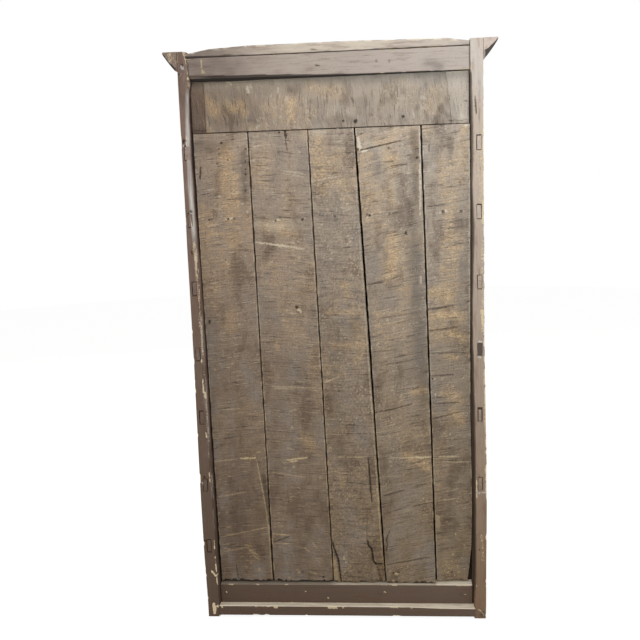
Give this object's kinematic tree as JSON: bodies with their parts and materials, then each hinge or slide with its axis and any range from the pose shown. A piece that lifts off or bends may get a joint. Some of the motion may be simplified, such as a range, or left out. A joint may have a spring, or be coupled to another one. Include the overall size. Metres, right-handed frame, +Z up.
{
  "type": "sacristy cupboard",
  "caption": "Tall free-standing cupboard with hinged panelled doors, through-tenoned frame, splayed cornice, inside shelves and a back of raw sawn planks.",
  "frame": {"origin": "on the floor, under the middle of the overall box (cornice included)", "axes": "+Z up, the doors face -Y, +X to the right of a person who stands in front of the doors"},
  "size_m": [1.054, 0.485, 1.931],
  "materials": {
    "frame_timber": "worn dark brown paint on hewn softwood",
    "door_timber": "worn dark brown paint on planed softwood",
    "raw_plank": "raw saw-marked softwood, grey with age",
    "inside_board": "bare planed softwood, darkened",
    "peg": "riven hardwood",
    "wrought_iron": "forged, brown with rust"
  },
  "bodies": {
    "carcass": {"back_bottom_rail": "frame_timber", "back_floor_bearer": "inside_board", "back_head_batten": "inside_board", "back_nails": "wrought_iron", "back_plank_1": "raw_plank", "back_plank_2": "raw_plank", "back_plank_3": "raw_plank", "back_plank_4": "raw_plank", "back_plank_5": "raw_plank", "back_shelf_bearer": "inside_board", "back_sill": "frame_timber", "back_top_board": "raw_plank", "back_top_rail": "frame_timber", "carcass_pegs": "peg", "cornice_front": "frame_timber", "cornice_left": "frame_timber", "cornice_right": "frame_timber", "floor_boards": "inside_board", "front_bottom_rail": "frame_timber", "front_post_left": "frame_timber", "front_post_right": "frame_timber", "front_top_rail": "frame_timber", "hinge_pintles": "wrought_iron", "left_side_bottom_rail": "frame_timber", "left_side_middle_rails": "frame_timber", "left_side_panels": "frame_timber", "left_side_top_rail": "frame_timber", "rear_post_left": "frame_timber", "rear_post_right": "frame_timber", "right_side_bottom_rail": "frame_timber", "right_side_middle_rails": "frame_timber", "right_side_panels": "frame_timber", "right_side_top_rail": "frame_timber", "roof_board_front": "inside_board", "roof_board_middle": "inside_board", "roof_board_rear": "inside_board", "shelves": "inside_board"},
    "left_door": {"left_door_bottom_rail": "door_timber", "left_door_hinge_leaves": "wrought_iron", "left_door_hinge_stile": "door_timber", "left_door_meeting_stile": "door_timber", "left_door_middle_rails": "door_timber", "left_door_panels": "door_timber", "left_door_pegs": "peg", "left_door_top_rail": "door_timber", "lock_keeper": "wrought_iron", "turn_button_pivot": "wrought_iron"},
    "right_door": {"key_plate": "wrought_iron", "lock_case": "wrought_iron", "right_door_bottom_rail": "door_timber", "right_door_hinge_leaves": "wrought_iron", "right_door_hinge_stile": "door_timber", "right_door_meeting_stile": "door_timber", "right_door_middle_rails": "door_timber", "right_door_panels": "door_timber", "right_door_pegs": "peg", "right_door_top_rail": "door_timber"},
    "key": {"key": "wrought_iron"},
    "lock_bolt": {"lock_bolt": "wrought_iron"},
    "turn_button": {"turn_button": "inside_board"}
  },
  "joints": [
    {"name": "left_door_hinge", "type": "hinge", "parent": "carcass", "child": "left_door", "pos_m": [-0.42275, -0.204, 0.962], "axis": [0, 0, -1], "range_deg": [0, 165]},
    {"name": "right_door_hinge", "type": "hinge", "parent": "carcass", "child": "right_door", "pos_m": [0.42275, -0.204, 0.962], "axis": [0, 0, 1], "range_deg": [0, 165]},
    {"name": "key_turn", "type": "hinge", "parent": "right_door", "child": "key", "pos_m": [0.0415, -0.1975, 1.085], "axis": [0, -1, 0], "range_deg": [0, 360]},
    {"name": "lock_bolt_slide", "type": "slide", "parent": "right_door", "child": "lock_bolt", "axis": [-1, 0, 0], "range_m": [0, 0.018]},
    {"name": "turn_button_swivel", "type": "hinge", "parent": "left_door", "child": "turn_button", "pos_m": [-0.0395, -0.1695, 1.765], "axis": [0, 1, 0], "range_deg": [0, 90]}
  ],
  "couplings": [
    {"joint": "lock_bolt_slide", "follows": "key_turn", "m_per_rad": 0.002864}
  ]
}
